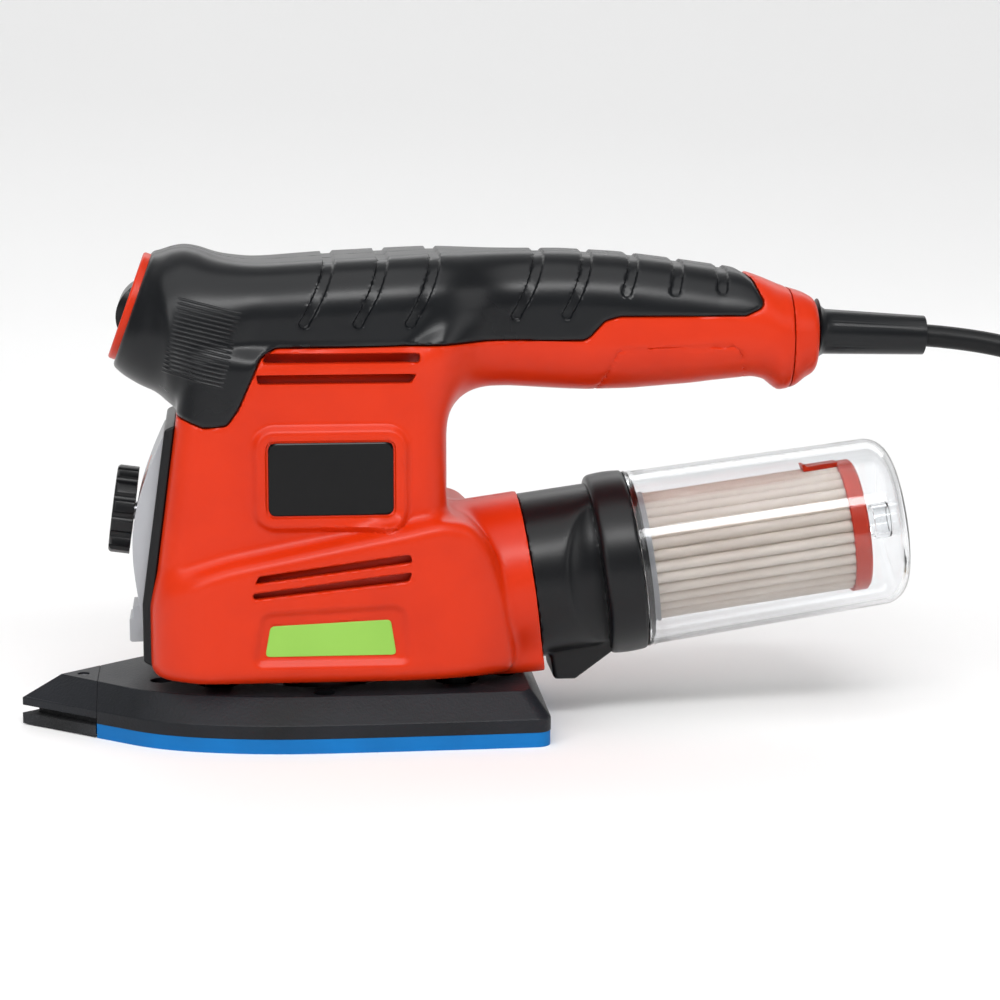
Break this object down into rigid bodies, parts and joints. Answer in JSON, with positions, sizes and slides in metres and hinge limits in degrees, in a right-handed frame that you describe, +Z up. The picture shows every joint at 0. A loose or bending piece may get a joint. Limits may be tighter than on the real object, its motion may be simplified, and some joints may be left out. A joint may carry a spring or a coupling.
{
  "type": "orbital sander",
  "caption": "Corded orbital detail sander with iron-shaped platen, rubber-covered long handle, selector knob and clear dust canister with pleated filter.",
  "frame": {"origin": "where the drive spindle's axis meets the sanding plane, on the underside of the foam pad", "axes": "+Z up along the spindle, nose towards -X, cord and dust canister towards +X, the side seen first towards -Y"},
  "size_m": [0.5063, 0.1227, 0.1591],
  "materials": {
    "orange_shell": "satin moulded ABS",
    "black_rubber": "satin soft-touch rubber",
    "black_plastic": "satin moulded nylon",
    "platen_plastic": "fine-grained charcoal nylon",
    "grey_plastic": "satin light grey",
    "badge_black": "gloss black",
    "label_green": "printed label",
    "blue_foam": "closed-cell foam",
    "rough_pad": "hook pad",
    "clear_plastic": "clear polycarbonate",
    "filter_paper": "pleated paper",
    "steel": "machined steel",
    "lamination": "stacked laminations",
    "copper": "enamelled copper",
    "brass": "stamped brass",
    "carbon": "carbon brush",
    "board": "circuit board",
    "aluminium": "die-cast",
    "cord_jacket": "matt PVC jacket"
  },
  "bodies": {
    "housing": {"left_shell": "orange_shell", "right_shell": "orange_shell", "left_grip": "black_rubber", "right_grip": "black_rubber", "left_badge": "badge_black", "right_badge": "badge_black", "left_label": "label_green", "right_label": "label_green", "housing_screws": "steel", "upper_bearing": "steel", "lower_bearing": "steel", "release_spring": "steel", "switch_bezel": "orange_shell", "switch_module": "black_plastic", "front_trim": "black_plastic", "selector_plate": "grey_plastic", "selector_switch": "black_plastic", "release_guide": "black_plastic", "motor_stator": "lamination", "field_windings": "copper", "brush_holders": "brass", "carbon_brushes": "carbon", "brush_springs": "steel", "fan_housing": "black_plastic", "rear_end_ring": "orange_shell", "strain_relief": "black_rubber", "inner_cord": "cord_jacket", "cord_clamp": "black_plastic", "control_board": "board", "orbit_legs": "black_rubber", "cord_lead": "cord_jacket", "cord_coil": "cord_jacket", "cord_tie": "black_rubber", "cord_tail": "cord_jacket", "plug_body": "cord_jacket", "plug_blades": "brass"},
    "motor_rotor": {"armature_core": "lamination", "armature_windings": "copper", "commutator": "copper", "motor_shaft": "steel", "cooling_fan": "black_plastic", "counterweight": "steel"},
    "platen": {"drive_bearing": "steel", "platen_carrier": "aluminium", "carrier_screws": "steel", "platen_base": "platen_plastic", "nose_tip": "platen_plastic", "nose_screw": "steel", "sanding_pad": "blue_foam", "tip_pad": "rough_pad"},
    "rocker": {"power_rocker": "black_plastic"},
    "selector": {"selector_knob": "black_plastic", "selector_spindle": "steel"},
    "release": {"release_button": "grey_plastic"},
    "collar": {"dust_collar": "black_plastic", "outlet_seal": "black_rubber"},
    "cup": {"dust_cup": "clear_plastic"},
    "filter": {"filter_paper": "filter_paper", "filter_core": "grey_plastic", "filter_end_ring": "orange_shell"}
  },
  "joints": [
    {"name": "shaft_spin", "type": "hinge", "parent": "housing", "child": "motor_rotor", "pos_m": [0, 0, 0.08], "axis": [0, 0, 1], "continuous": true},
    {"name": "platen_orbit", "type": "hinge", "parent": "motor_rotor", "child": "platen", "pos_m": [0.001, 0, 0.013], "axis": [0, 0, 1], "continuous": true},
    {"name": "power_switch", "type": "hinge", "parent": "housing", "child": "rocker", "pos_m": [-0.05383, 0, 0.13679], "axis": [0, 1, 0], "range_deg": [0, 12]},
    {"name": "selector_turn", "type": "hinge", "parent": "housing", "child": "selector", "pos_m": [-0.05128, 0, 0.0704], "axis": [-0.9905, 0, 0.1372], "range_deg": [-90, 90]},
    {"name": "release_press", "type": "slide", "parent": "housing", "child": "release", "axis": [1, 0, 0], "range_m": [0, 0.003], "stiffness_N_per_m": 600, "springref_m": -0.002},
    {"name": "collar_pull", "type": "slide", "parent": "housing", "child": "collar", "axis": [0.9903, 0, 0.1392], "range_m": [0, 0.06]},
    {"name": "cup_pull", "type": "slide", "parent": "collar", "child": "cup", "axis": [0.9903, 0, 0.1392], "range_m": [0, 0.1]},
    {"name": "filter_pull", "type": "slide", "parent": "collar", "child": "filter", "axis": [0.9903, 0, 0.1392], "range_m": [0, 0.05]}
  ],
  "couplings": [
    {"joint": "platen_orbit", "follows": "shaft_spin", "ratio": -1},
    {"joint": "filter_pull", "follows": "cup_pull", "ratio": 0.5}
  ]
}
